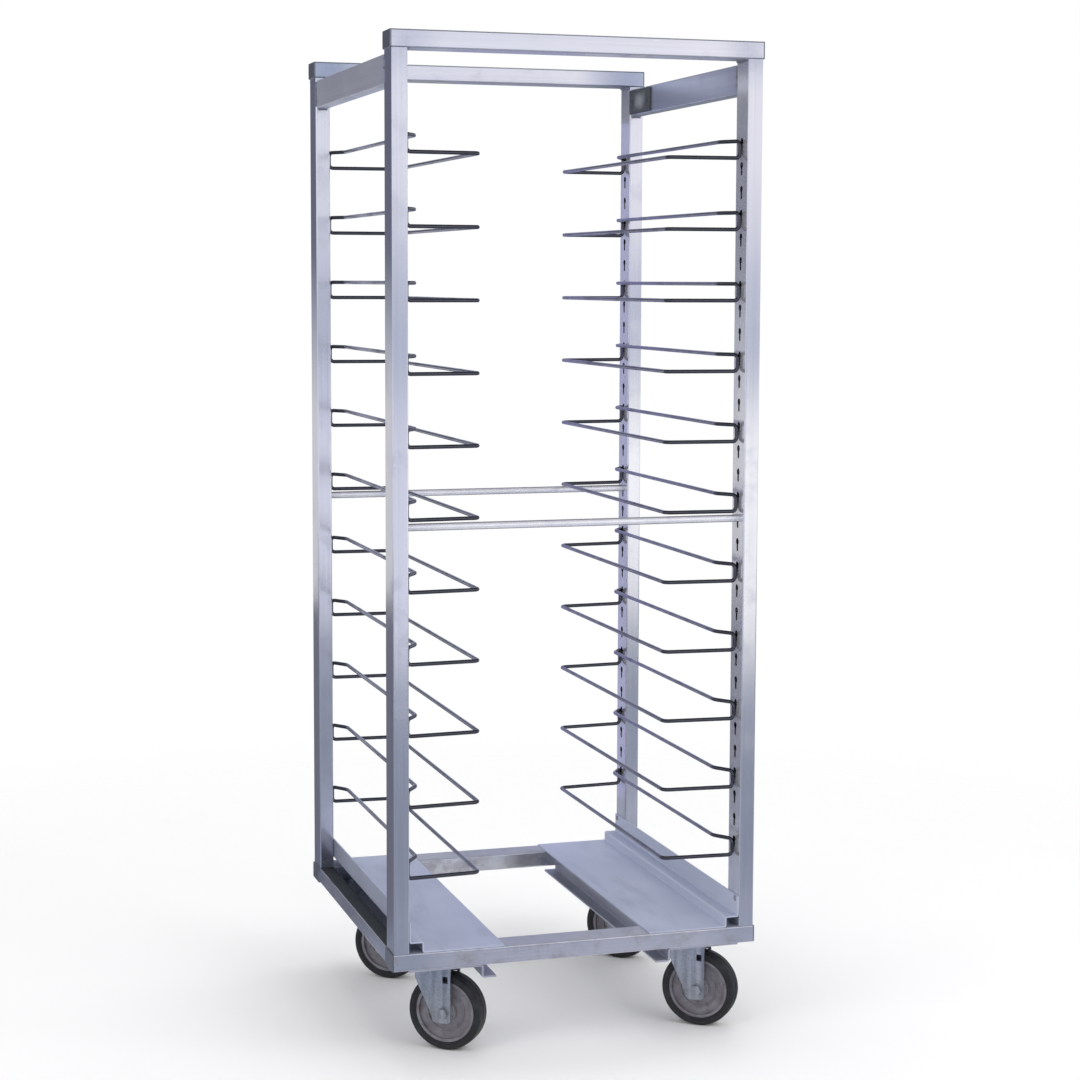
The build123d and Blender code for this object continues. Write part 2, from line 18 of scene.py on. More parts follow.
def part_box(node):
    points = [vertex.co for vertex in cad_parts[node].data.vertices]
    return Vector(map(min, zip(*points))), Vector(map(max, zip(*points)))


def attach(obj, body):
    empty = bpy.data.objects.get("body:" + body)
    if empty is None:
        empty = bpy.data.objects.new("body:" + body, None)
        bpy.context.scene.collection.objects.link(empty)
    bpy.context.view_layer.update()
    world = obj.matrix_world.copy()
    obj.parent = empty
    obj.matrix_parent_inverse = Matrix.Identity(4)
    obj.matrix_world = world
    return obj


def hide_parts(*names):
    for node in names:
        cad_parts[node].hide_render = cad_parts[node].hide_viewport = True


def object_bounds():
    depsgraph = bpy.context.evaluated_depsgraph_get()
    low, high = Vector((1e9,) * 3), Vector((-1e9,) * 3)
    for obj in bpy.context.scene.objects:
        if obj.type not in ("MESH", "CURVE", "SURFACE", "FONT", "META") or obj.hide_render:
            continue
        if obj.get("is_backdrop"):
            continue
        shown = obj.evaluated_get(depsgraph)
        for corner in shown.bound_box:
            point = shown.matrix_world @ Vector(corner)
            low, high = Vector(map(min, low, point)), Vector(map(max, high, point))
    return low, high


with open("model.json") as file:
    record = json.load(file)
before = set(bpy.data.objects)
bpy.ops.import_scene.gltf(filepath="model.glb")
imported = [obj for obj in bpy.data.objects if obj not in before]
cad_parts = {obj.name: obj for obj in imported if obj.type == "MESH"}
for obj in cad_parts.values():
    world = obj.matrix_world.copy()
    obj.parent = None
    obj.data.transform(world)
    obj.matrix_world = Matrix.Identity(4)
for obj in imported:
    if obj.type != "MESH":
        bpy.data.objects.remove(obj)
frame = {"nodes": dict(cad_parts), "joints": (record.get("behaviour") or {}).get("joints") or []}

solid_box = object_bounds()
solids = frame["nodes"]
print("solids:", len(solids), "box:", [round(side, 3) for side in solid_box[1] - solid_box[0]])

# %% [markdown]
# ## Arithmetic with shader sockets
# Every finish below is a small sum: streaks plus clouds, less some scratches. Wiring Math nodes by hand hides
# that sum, so one class wraps a socket and lets Python's own operators add the nodes. The reflected forms,
# such as `__rsub__`, are there so that `1 - mask` works as well as `mask - 1`. All other nodes come from one
# method, which sets a node's options first, because some options change which sockets the node has.

# %% A socket that does sums
class Field:
    """An output of a shader tree that can be added, multiplied and compared."""

    def __init__(self, tree, socket=None):
        self.tree = tree
        self.socket = socket

    def node(self, kind, settings=None, inputs=None, output=0):
        """Add a node with its settings, then its sockets' values or links, and give one output."""
        made = self.tree.nodes.new("ShaderNode" + kind)
        for name, value in (settings or {}).items():
            if name == "stops":
                self.set_stops(made.color_ramp, value)
            else:
                setattr(made, name, value)
        for name, value in (inputs or {}).items():
            if isinstance(value, Field):
                self.tree.links.new(value.socket, made.inputs[name])
            else:
                made.inputs[name].default_value = value
        return Field(self.tree, made.outputs[output] if made.outputs else None)

    @staticmethod
    def set_stops(ramp, stops):
        """Give a colour ramp its stops, which are (position, colour) pairs in rising order."""
        while len(ramp.elements) < len(stops):
            ramp.elements.new(1.0)
        for element, (position, colour) in zip(ramp.elements, stops):
            element.position = position
            element.color = colour

    def calculate(self, operation, first, second):
        return self.node("Math", {"operation": operation}, {0: first, 1: second})

    def __add__(self, other):
        return self.calculate("ADD", self, other)

    def __sub__(self, other):
        return self.calculate("SUBTRACT", self, other)

    def __mul__(self, other):
        return self.calculate("MULTIPLY", self, other)

    def __rsub__(self, other):
        return self.calculate("SUBTRACT", other, self)

    def __abs__(self):
        return self.calculate("ABSOLUTE", self, 0.0)

    __radd__ = __add__
    __rmul__ = __mul__

    def most(self, other):
        return self.calculate("MAXIMUM", self, other)

    def ramp(self, low, high):
        """0 below low, 1 above high and a soft step between them. A high under the low turns it round."""
        return self.node("MapRange", {"interpolation_type": "SMOOTHSTEP"}, {0: self, 1: low, 2: high})


print("Field: sums, MAXIMUM, ABSOLUTE and soft steps on sockets")

# %% [markdown]
# ## Words for finishes
# A few helpers keep the finishes short. `places` gives the point being shaded, in metres from the rack's
# origin: Object coordinates stay put when a slide lifts or a wheel turns. `facing` gives the direction that
# the surface faces there, and `component` takes the X, Y or Z out of either. `grain` is a noise that is drawn
# out along one direction, which is what brushing, rolling and drawing leave on metal. `blend` mixes two
# colours, and `bumps` turns a height into a tilted normal.

# %% Helpers for finishes
def places(start):
    return start.node("TexCoord", output="Object")


def facing(start):
    return start.node("TexCoord", output="Normal")


def component(vector, axis):
    return vector.node("SeparateXYZ", {}, {0: vector}, axis)


def grain(where, per_metre, detail=3.0, rough=0.55):
    """Noise with its own fineness along X, Y and Z, in features per metre."""
    scaled = where.node("VectorMath", {"operation": "MULTIPLY"}, {0: where, 1: per_metre})
    return where.node("TexNoise", {}, {"Vector": scaled, "Scale": 1.0, "Detail": detail, "Roughness": rough})


def even_grain(where, per_metre, detail=3.0):
    return grain(where, (per_metre, per_metre, per_metre), detail)


def blend(factor, first, second):
    return factor.node("Mix", {"data_type": "RGBA"}, {0: factor, 6: first, 7: second}, 2)


def bumps(height, depth, strength=1.0):
    return height.node("Bump", {}, {"Strength": strength, "Distance": depth, "Height": height})


def empty_material(name):
    """A material without nodes, and a field to start its nodes from."""
    made = bpy.data.materials.new(name)
    made.use_nodes = True
    made.node_tree.nodes.clear()
    return made, Field(made.node_tree)


def finish(name, sockets_for):
    """A material whose Principled sockets are what sockets_for gives for the shaded point."""
    made, start = empty_material(name)
    shader = start.node("BsdfPrincipled", {}, sockets_for(places(start)))
    start.node("OutputMaterial", {}, {"Surface": shader})
    return made


def dress(thing, material):
    """Give an object one material in place of all that it has."""
    thing.data.materials.clear()
    thing.data.materials.append(material)


print("helpers: places, facing, component, grain, even_grain, blend, bumps, finish, dress")

# %% [markdown]
# ## Brushed aluminium
# The tubes are satin aluminium with a faint lavender cast. Mill and belt leave long streaks that run with
# each tube, so one function makes the finish for a given direction. Broad clouds of oxide make the tone
# drift by a few percent, handling leaves duller patches, and a few bright scratches cross the streaks. The
# heat of welding leaves a bluish, duller band beside the ends of each tube: the distance to the weld is
# worked out from the point's own coordinates, so it needs no painting. Faces that look up or down get
# painted shade and grime in one dark colour, and the Z of the normal finds them. Slides scuff the inner faces
# of the posts: there the normal's X and the point's own X have opposite signs, so their product is below
# zero.
# A scuffed or dull face scatters a share of the light, as paint does, so it is a little less than wholly
# metallic.

# %% Brushed aluminium
ALUMINIUM = ((0.66, 0.665, 0.73, 1.0), (0.86, 0.86, 0.90, 1.0))  # a dark and a light tone
HEAT_BLUE = (0.41, 0.46, 0.58, 1.0)
GRIME_AND_SHADE = (0.018, 0.024, 0.029, 1.0)
STAIN = (0.22, 0.21, 0.22, 1.0)
FINE_STREAKS = 900.0  # across the grain, per metre
LONG_STREAKS = 5.0  # along the grain, per metre
STREAK_DEPTH = 0.00006
HEAT_WANDER = 0.03  # how unevenly the heat spreads, in metres
INNER_SIDE = (-0.10, -0.20)  # outwardness at which a face begins to count as inner, and counts in full
AXES = "XYZ"


def along(axis, fine, slow):
    """Fineness with the slow direction along one axis."""
    return tuple(slow if name == axis else fine for name in AXES)


def outwardness(where):
    """Above zero on faces that look away from the middle of the rack, to its left or right."""
    return component(facing(where), "X") * component(where, "X")


# dirt is the colour of the painted shade and grime on faces that look up or down.
def brushed_aluminium(name, axis, middle, weld_at, tint=0.35, reach=0.07, rough=0.12, dull=0.0, scuffed=0.0,
                      shade_and_grime=0.0, dirt=GRIME_AND_SHADE, stained=0.0, tones=ALUMINIUM):
    """Streaks along one axis, and heat tint where the tube is welded, this far each way from its middle."""

    def sockets(where):
        streaks = grain(where, along(axis, FINE_STREAKS, LONG_STREAKS), 4.0, 0.6)
        bands = grain(where, along(axis, 160.0, 1.2), 2.0)
        clouds = even_grain(where, 3.5)
        hands = even_grain(where, 17.0, 4.0).ramp(0.52, 0.70)
        scratches = grain(where, along(axis, 260.0, 60.0), 2.0).ramp(0.70, 0.76)
        marks = streaks * 0.45 + bands * 0.35 + clouds * 0.5 - hands * 0.12 + scratches * 0.25
        from_weld = abs(abs(component(where, axis) - middle) - weld_at)
        heat = (from_weld + (clouds - 0.5) * HEAT_WANDER).ramp(reach, 0.0)
        scuffs = outwardness(where).ramp(*INNER_SIDE) * scuffed
        lying_flat = abs(component(facing(where), "Z"))
        # Painted shade, and grime, on the faces that look up or down.
        shade_and_grime_mask = (lying_flat + (hands - 0.5) * 0.2).ramp(0.25, 0.70) * shade_and_grime
        stains = even_grain(where, 26.0, 5.0).ramp(0.46, 0.70) * stained
        heated = blend(heat * tint, blend(marks.ramp(0.25, 1.05), *tones), HEAT_BLUE)
        rubbed_rough = rough + streaks * 0.07 + hands * 0.07 + heat * 0.10 - scratches * 0.03
        return {
            "Base Color": blend(shade_and_grime_mask, blend(stains, heated, STAIN), dirt),
            "Metallic": 1.0 - dull - shade_and_grime_mask - scuffs - stains * 0.4,
            "Roughness": rubbed_rough + shade_and_grime_mask * 0.4,
            "Specular IOR Level": 0.15,
            "Normal": bumps(streaks + scratches * 0.5, STREAK_DEPTH, 0.6),
        }

    return finish(name, sockets)


print("streaks:", FINE_STREAKS, "per metre across the grain and", LONG_STREAKS, "along it")

# %% [markdown]
# ## Tubes
# Copies of the brushed finish serve the posts, the rails across and the rails along the sides. They differ
# in more than their direction. The heat tint is strongest on the rear top rail, and on the posts the bluish
# band at each end is weld tint and also painted shade where they meet the rails. The base side rails carry
# the most painted shade and grime, which darkens the gutter beside the floor pans, and the base rails across
# carry painted shade and dust in blue grey. Wet floors splash the base rails, which dry with brownish grey
# stains. The top rail on the right is given cooler tones. The welds of a tube are where it meets the posts,
# so their places come from the box of one post.

# %% Tubes
COOL_ALUMINIUM = ((0.64, 0.69, 0.82, 1.0), (0.82, 0.87, 0.99, 1.0))
BLUE_GREY_SHADE_AND_DUST = (0.17, 0.19, 0.28, 1.0)

post_low, post_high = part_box("post_rear_right")
post_middle = (post_low.z + post_high.z) / 2
# The bluish band at the ends of the posts is weld tint and also painted shade where they meet the rails.
post_metal = brushed_aluminium("post_aluminium", "Z", post_middle, post_high.z - post_middle, scuffed=0.25)
top_front_metal = brushed_aluminium("top_front_rail_aluminium", "X", 0.0, post_low.x, shade_and_grime=0.25)
top_rear_metal = brushed_aluminium("top_rear_rail_aluminium", "X", 0.0, post_low.x, tint=1.0, reach=0.12,
                                   shade_and_grime=0.5)
# The base rails across get painted shade and dust in blue grey on the faces that look up or down.
base_cross_metal = brushed_aluminium("base_cross_rail_aluminium", "X", 0.0, post_low.x, shade_and_grime=0.55,
                                     dirt=BLUE_GREY_SHADE_AND_DUST, stained=0.5)
top_left_metal = brushed_aluminium("top_left_rail_aluminium", "Y", 0.0, post_low.y, rough=0.30, dull=0.18)
top_right_metal = brushed_aluminium("top_right_rail_aluminium", "Y", 0.0, post_low.y, rough=0.26, dull=0.06,
                                    shade_and_grime=0.6, tones=COOL_ALUMINIUM)
# The base side rails get the most painted shade, which darkens the gutter beside the floor pans.
base_side_metal = brushed_aluminium("base_side_rail_aluminium", "Y", 0.0, post_low.y, rough=0.20, shade_and_grime=0.96,
                                    stained=0.4)
tube_metals = {
    "post_front_left": post_metal,
    "post_front_right": post_metal,
    "post_rear_left": post_metal,
    "post_rear_right": post_metal,
    "top_rail_front": top_front_metal,
    "top_rail_rear": top_rear_metal,
    "top_rail_left": top_left_metal,
    "top_rail_right": top_right_metal,
    "base_rail_front": base_cross_metal,
    "base_rail_rear": base_cross_metal,
    "base_rail_left": base_side_metal,
    "base_rail_right": base_side_metal,
}
for name, metal in tube_metals.items():
    dress(solids[name], metal)
print("brushed aluminium on", len(tube_metals), "tubes")

# %% [markdown]
# ## Sheet aluminium
# The floor pans and the caster channels are folded from sheet. Sheet is duller and bluer than the polished
# tube, with a faint rolling grain from front to back. Its skin of oxide scatters light as paint does, so it
# is less than wholly metallic. Tubs dragged over the deck leave soft grey rubs and fine scratches that
# wander a little, so their noise is drawn out along Y but far less than the grain. The inner sides of each
# pan's step and flange get a painted highlight, and their outer sides get painted shade, most of it at the
# rear. The channels under the base get darker tones and neither of these, so the same finish is made twice,
# paler for the pans.

# %% Sheet aluminium
PAN_DARK = (0.50, 0.54, 0.67, 1.0)
PAN_LIGHT = (0.65, 0.69, 0.83, 1.0)
CHANNEL_DARK = (0.38, 0.39, 0.46, 1.0)
CHANNEL_LIGHT = (0.56, 0.57, 0.64, 1.0)
HIGHLIGHT_SHEET = (0.90, 0.93, 1.0, 1.0)
ROLLING_DEPTH = 0.00005
OUTER_SIDE = (0.10, 0.20)  # outwardness at which a face begins to count as outer, and counts in full
REAR_PART = (0.10, 0.31)  # Y at which the painted shade begins to deepen, and is deepest


def sheet_aluminium(name, dark, light, metallic, side_light_and_shade=0.0):
    """Rolled sheet between two tones, with a painted highlight on its inner sides and painted shade on its
    outer ones.
    """

    def sockets(where):
        rolling = grain(where, along("Y", 700.0, 9.0), 3.0, 0.6)
        clouds = even_grain(where, 5.0)
        rubs = grain(where, along("Y", 30.0, 7.0), 4.0).ramp(0.50, 0.72)
        scratches = grain(where, along("Y", 420.0, 24.0), 2.0).ramp(0.69, 0.76)
        specks = even_grain(where, 260.0, 1.0).ramp(0.72, 0.78)
        marks = rolling * 0.4 + clouds * 0.7 - rubs * 0.2 + scratches * 0.3 - specks * 0.2
        rear = component(where, "Y").ramp(*REAR_PART)
        outward = outwardness(where)
        # Painted shade on the outer sides, deepest at the rear, and a painted highlight on the inner sides.
        shade_and_grime_mask = outward.ramp(*OUTER_SIDE) * (0.26 + rear * 0.34) * side_light_and_shade
        painted_highlight = outward.ramp(*INNER_SIDE) * 0.32 * side_light_and_shade
        marked_and_highlighted = blend(painted_highlight, blend(marks.ramp(0.15, 1.0), dark, light), HIGHLIGHT_SHEET)
        return {
            "Base Color": blend(shade_and_grime_mask, marked_and_highlighted, GRIME_AND_SHADE),
            "Metallic": metallic,
            "Roughness": 0.42 + rolling * 0.10 + rubs * 0.10 - scratches * 0.08,
            "Normal": bumps(rolling + scratches * 0.6, ROLLING_DEPTH, 0.6),
        }

    return finish(name, sockets)


pan_metal = sheet_aluminium("pan_sheet_aluminium", PAN_DARK, PAN_LIGHT, 0.50, side_light_and_shade=1.0)
channel_metal = sheet_aluminium("channel_sheet_aluminium", CHANNEL_DARK, CHANNEL_LIGHT, 0.65)
for side in ("left", "right"):
    dress(solids[f"floor_pan_{side}"], pan_metal)
    dress(solids[f"caster_channel_{side}"], channel_metal)
print("sheet aluminium:", pan_metal.name, channel_metal.name)

# %% [markdown]
# ## Plated wire and rod
# The slides are drawn steel wire with a dark, bright-plated skin, and the two cross rods have a paler, satin
# plate that scatters more light. Plating is nearly a mirror, so its look comes from what stands around it.
# What breaks the mirror is small: a slight ripple, dull spots where the plate is thin, and tiny pits. The
# top and the underside of each bar get painted shade, so both are darker than its sides. The arms, legs and
# bends of a slide get painted shade too, while its long rails keep the plate's own tones. A bar that runs
# along Y has no Y in its normal, and that is how the finish tells a rail from the rest.

# %% Plated wire and rod
WIRE_DARK = (0.29, 0.285, 0.34, 1.0)
WIRE_LIGHT = (0.46, 0.455, 0.52, 1.0)
ROD_DARK = (0.78, 0.78, 0.85, 1.0)
ROD_LIGHT = (0.95, 0.95, 0.99, 1.0)
PAINTED_EDGE_SHADE = (0.09, 0.09, 0.11, 1.0)
OFF_RAIL_SHADE = (0.045, 0.045, 0.052, 1.0)
RIPPLE_DEPTH = 0.0002


def plated_steel(name, dark, light, metallic, rough, edge_shading, off_rail_shading=0.0):
    """Plate between two tones, with painted shade along its top and underside and off the long rails."""

    def sockets(where):
        ripple = even_grain(where, 40.0, 2.0)
        dull = even_grain(where, 14.0, 2.0).ramp(0.50, 0.68)
        pits = even_grain(where, 620.0, 1.0).ramp(0.72, 0.78)
        tone = (ripple * 0.8 - dull * 0.2 - pits * 0.2).ramp(0.0, 0.8)
        endways, lying_flat = (abs(component(facing(where), axis)) for axis in "YZ")
        # The dust mask is painted shade along the top and underside of each bar.
        dust = lying_flat.ramp(0.55, 0.95) * edge_shading
        off_rail_shade_mask = endways.ramp(0.05, 0.30) * off_rail_shading
        return {
            "Base Color": blend(off_rail_shade_mask, blend(dust, blend(tone, dark, light), PAINTED_EDGE_SHADE), OFF_RAIL_SHADE),
            "Metallic": metallic,
            "Roughness": rough + dull * 0.12 + pits * 0.12,
            "Normal": bumps(ripple - pits * 0.3, RIPPLE_DEPTH, 0.25),
        }

    return finish(name, sockets)


wire_plate = plated_steel("slide_wire_plate", WIRE_DARK, WIRE_LIGHT, metallic=1.0, rough=0.20, edge_shading=0.25,
                          off_rail_shading=0.80)
rod_plate = plated_steel("cross_rod_plate", ROD_DARK, ROD_LIGHT, metallic=0.45, rough=0.26, edge_shading=0.75)
slide_names = sorted(name for name in solids if name.startswith("slide_"))
for name in slide_names:
    dress(solids[name], wire_plate)
dress(solids["cross_rods"], rod_plate)
print("plated wire on", len(slide_names), "slides")

# %% [markdown]
# ## Zinc plated steel
# The caster forks, top plates, bolts and axles are steel with a zinc skin. Zinc is greyer than aluminium and
# grows in small crystals, which a Voronoi cell pattern gives: each cell has its own shade. Water runs down
# the forks and leaves upright streaks, and they grow darker, duller and less metallic towards the wheel.

# %% Zinc
ZINC_DARK = (0.28, 0.31, 0.36, 1.0)
ZINC_LIGHT = (0.54, 0.58, 0.66, 1.0)
TONE_NEAR_WHEEL = (0.13, 0.125, 0.12, 1.0)
DARKENING_HEIGHTS = (0.17, 0.06)  # Z at which the darkening begins, and is full
CRYSTAL_DEPTH = 0.00008


def zinc_plate(name, crystals):
    """Zinc with this many crystals per metre."""

    def sockets(where):
        cells = where.node("TexVoronoi", {}, {"Vector": where, "Scale": crystals}, "Color")
        shade = where.node("SeparateColor", {}, {0: cells})
        streaks = grain(where, along("Z", 110.0, 9.0), 3.0)
        # The dirt mask darkens and dulls the zinc towards the wheel.
        dirt = (even_grain(where, 45.0, 3.0) * 0.06 + component(where, "Z")).ramp(*DARKENING_HEIGHTS)
        tone = (shade * 0.15 + streaks).ramp(0.32, 0.82)
        return {
            "Base Color": blend(dirt * 0.4, blend(tone, ZINC_DARK, ZINC_LIGHT), TONE_NEAR_WHEEL),
            "Metallic": 1.0 - dirt * 0.4,
            "Roughness": 0.33 + streaks * 0.12 + dirt * 0.25,
            "Normal": bumps(shade * 0.2 + streaks, CRYSTAL_DEPTH, 0.4),
        }

    return finish(name, sockets)


caster_zinc = zinc_plate("caster_zinc", 420.0)
fastener_zinc = zinc_plate("fastener_zinc", 900.0)
dress(solids["caster_swivel_heads"], caster_zinc)
dress(solids["caster_plate_bolts"], fastener_zinc)
caster_corners = [f"{end}_{side}" for end in ("front", "rear") for side in ("left", "right")]
for corner in caster_corners:
    dress(solids[f"caster_fork_{corner}"], caster_zinc)
    dress(solids[f"caster_axle_{corner}"], fastener_zinc)
print("zinc on", len(caster_corners), "casters")

# %% [markdown]
# ## Caps and dark plates
# The plugs in the rail ends are moulded in a silvery plastic, full of fine metal flake, so that they pass
# for the tube they close. A spark-eroded grain dulls them a little. The plates at the rear of the top side
# rails are painted dark, with a painted highlight that makes their middle lighter and more metallic while
# their edges stay dark, and a few chips through to bare metal. The painted highlight and the chips are one
# mask used three times: it changes the colour, the metalness and the roughness together.

# %% Caps and dark plates
CAP_DARK = (0.20, 0.21, 0.245, 1.0)
CAP_LIGHT = (0.30, 0.31, 0.355, 1.0)
PAINT_DARK = (0.060, 0.066, 0.080, 1.0)
HIGHLIGHT_AND_CHIP_METAL = (0.50, 0.52, 0.57, 1.0)
HIGHLIGHT_REACH = 0.0352  # along Y from the middle of a plate, in metres
HIGHLIGHT_RISE = 0.0195  # up and down from it
RAGGED_EDGE = 0.012

plate_low, plate_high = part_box("top_rail_brackets")
plate_middle = (plate_low + plate_high) / 2


def cap_sockets(where):
    moulded = even_grain(where, 1500.0, 2.0)
    smears = even_grain(where, 40.0, 4.0).ramp(0.45, 0.75)
    return {
        "Base Color": blend(smears, CAP_DARK, CAP_LIGHT),
        "Metallic": 0.8,
        "Roughness": 0.30 + smears * 0.15,
        "Normal": bumps(moulded, 0.00005, 0.5),
    }


def plate_sockets(where):
    spread = even_grain(where, 120.0, 4.0)
    ragged = (spread - 0.5) * RAGGED_EDGE
    reach = abs(component(where, "Y") - plate_middle.y) + ragged
    rise = abs(component(where, "Z") - plate_middle.z) + ragged
    # The lighter, more metallic middle of each plate is a painted highlight.
    painted_highlight = reach.ramp(HIGHLIGHT_REACH, 0.0) * rise.ramp(HIGHLIGHT_RISE, 0.0)
    chips = even_grain(where, 330.0, 3.0).ramp(0.66, 0.70)
    highlight_and_chips = painted_highlight.most(chips) * 0.8
    return {
        "Base Color": blend(highlight_and_chips, PAINT_DARK, HIGHLIGHT_AND_CHIP_METAL),
        "Metallic": highlight_and_chips * 0.8,
        "Roughness": 0.55 - highlight_and_chips * 0.15 + spread * 0.1,
        "Normal": bumps(spread - highlight_and_chips * 0.6, 0.0001, 0.5),
    }


dress(solids["rail_end_caps"], finish("cap_plastic", cap_sockets))
dress(solids["top_rail_brackets"], finish("dark_plate_paint", plate_sockets))
print("dark plates centred at Y", round(plate_middle.y, 3))

# %% [markdown]
# ## Turning a profile
# Tyres and wheel centres are turned shapes. A profile is drawn as a few points, each a radius and an offset
# along the axle, and `spin` sweeps it round. A full turn needs `use_merge`, or the last ring of points stays
# apart from the first and shows as a seam. The sharp rings are then bevelled, because no moulded edge is
# truly sharp, and the bevel is what catches the light. A wheel is the same on both sides, so only half of
# its profile has to be drawn.

# %% A turned piece
TURN_STEPS = 96
BEVEL_STEPS = 3
SMOOTH_ANGLE = math.radians(35.0)
WELD_DISTANCE = 1e-6


def piece(name, mesh, material):
    """Make an object of a bmesh, smooth but for its sharp edges, with one material."""
    bmesh.ops.remove_doubles(mesh, verts=mesh.verts, dist=WELD_DISTANCE)
    bmesh.ops.recalc_face_normals(mesh, faces=mesh.faces)
    data = bpy.data.meshes.new(name)
    mesh.to_mesh(data)
    mesh.free()
    for face in data.polygons:
        face.use_smooth = True
    data.set_sharp_from_angle(angle=SMOOTH_ANGLE)
    made = bpy.data.objects.new(name, data)
    bpy.context.scene.collection.objects.link(made)
    dress(made, material)
    return made


def turn(mesh, profile, centre, axis, closed=True):
    """Add a profile of (radius, offset) points to a bmesh, turned about an axis through a centre."""
    outward = axis.orthogonal().normalized()
    ring = [mesh.verts.new(centre + outward * radius + axis * offset) for radius, offset in profile]
    ends = ring[1:] + ring[:1] if closed else ring[1:]
    loop = [mesh.edges.new(pair) for pair in zip(ring, ends)]
    bmesh.ops.spin(mesh, geom=ring + loop, cent=centre, axis=axis, angle=math.tau, steps=TURN_STEPS,
                   use_merge=True)


def soften(mesh, radius):
    """Bevel the sharp edges of a whole bmesh."""
    bmesh.ops.remove_doubles(mesh, verts=mesh.verts, dist=WELD_DISTANCE)
    bmesh.ops.recalc_face_normals(mesh, faces=mesh.faces)
    sharp = [edge for edge in mesh.edges if edge.is_manifold and edge.calc_face_angle() > SMOOTH_ANGLE]
    bmesh.ops.bevel(mesh, geom=sharp, offset=radius, offset_type="OFFSET", segments=BEVEL_STEPS, profile=0.5,
                    affect="EDGES", material=-1)


def mirrored(half):
    """A closed profile from the half of it that lies on one side of the wheel."""
    return half + [(radius, -offset) for radius, offset in reversed(half)]


rolls = {joint["child"]: joint for joint in frame["joints"] if joint["name"].startswith("caster_roll_")}


def wheel_piece(name, corner, profile, edge_radius, material):
    """A piece turned about the axle of the caster at one corner."""
    joint = rolls[f"caster_wheel_{corner}"]
    mesh = bmesh.new()
    turn(mesh, profile, Vector(joint["pos_m"]), Vector(joint["axis"]))
    soften(mesh, edge_radius)
    return piece(name, mesh, material)


print("wheels to turn:", sorted(rolls))

# %% [markdown]
# ## Tyres
# Each tyre is a solid black rubber band. Its profile has a crowned tread with a fine parting line in the
# middle, round shoulders, and a sidewall that steps down to a thin bead against the wheel centre. The rubber
# is nearly black and dull, a shade greyer where floor dust has stuck to it.

# %% Tyres
tyre_low, tyre_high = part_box("caster_tyre_front_left")
hub_low, hub_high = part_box("caster_hub_front_left")
WHEEL_RADIUS = (tyre_high.z - tyre_low.z) / 2
RIM_RADIUS = (hub_high.z - hub_low.z) / 2
TYRE_HALF = 0.016
TREAD_CROWN = 0.0004
SHOULDER = 0.005
SHOULDER_STEPS = 6
PARTING_HALF = 0.0007
PARTING_FLAT = PARTING_HALF * 0.4
PARTING_RISE = 0.0003
BEAD = 0.003
BEAD_DROP = 0.0008
TYRE_EDGE = 0.0004
RUBBER_BLACK = (0.008, 0.008, 0.010, 1.0)
RUBBER_DUSTY = (0.050, 0.054, 0.064, 1.0)


def quarter_turn(steps):
    """Angles from nothing to a right angle."""
    return [math.pi / 2 * step / steps for step in range(steps + 1)]


def shoulder_arc():
    """Quarter circle from the tread round to the sidewall."""
    radius = WHEEL_RADIUS - TREAD_CROWN - SHOULDER
    offset = TYRE_HALF - SHOULDER
    return [(radius + SHOULDER * math.cos(angle), offset + SHOULDER * math.sin(angle))
            for angle in quarter_turn(SHOULDER_STEPS)]


tyre_profile = mirrored([
    (WHEEL_RADIUS, PARTING_FLAT),
    (WHEEL_RADIUS - PARTING_RISE, PARTING_HALF),
    *shoulder_arc(),
    (RIM_RADIUS + BEAD, TYRE_HALF),
    (RIM_RADIUS + BEAD, TYRE_HALF - BEAD_DROP),
    (RIM_RADIUS, TYRE_HALF - BEAD_DROP),
])


def rubber_sockets(where):
    pores = even_grain(where, 1400.0, 2.0)
    dust = even_grain(where, 34.0, 5.0).ramp(0.46, 0.74)
    scuffs = even_grain(where, 160.0, 3.0).ramp(0.60, 0.70)
    return {
        "Base Color": blend(dust * 0.5 + scuffs * 0.25, RUBBER_BLACK, RUBBER_DUSTY),
        "Roughness": 0.50 + dust * 0.25 + pores * 0.08,
        "Normal": bumps(pores + scuffs * 0.5, 0.00008, 0.5),
    }


rubber = finish("tyre_rubber", rubber_sockets)
for corner in caster_corners:
    tyre = wheel_piece(f"tyre_{corner}", corner, tyre_profile, TYRE_EDGE, rubber)
    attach(tyre, f"caster_wheel_{corner}")
    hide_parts(f"caster_tyre_{corner}")
print("tyres: radius", round(WHEEL_RADIUS, 4), "profile points", len(tyre_profile))

# %% [markdown]
# ## Wheel centres
# The wheel centres are moulded in a brownish grey plastic. A real one isn't a plain disc: a rim lip holds
# the tyre, a shallow ring stiffens the web, and a stepped boss takes the bush. All of that is again a
# profile. The plastic has a satin skin, faint clouds from the way it flowed in the mould, and patches of
# dirt.

# %% Wheel centres
BUSH_RADIUS = 0.0071
BOSS_RADIUS = 0.019
BOSS_HALF = 0.0185
BOSS_STEP = 0.0035
BOSS_STEP_DROP = 0.0030
WEB_HALF = 0.0080
RING_RADIUS = 0.0315
RING_WIDTH = 0.0035
RING_RISE = 0.0018
RIM_LIP = 0.005
RIM_HALF = 0.0140
HUB_EDGE = 0.0005
HUB_DARK = (0.150, 0.138, 0.160, 1.0)
HUB_LIGHT = (0.220, 0.212, 0.240, 1.0)
HUB_DIRT = (0.075, 0.068, 0.064, 1.0)

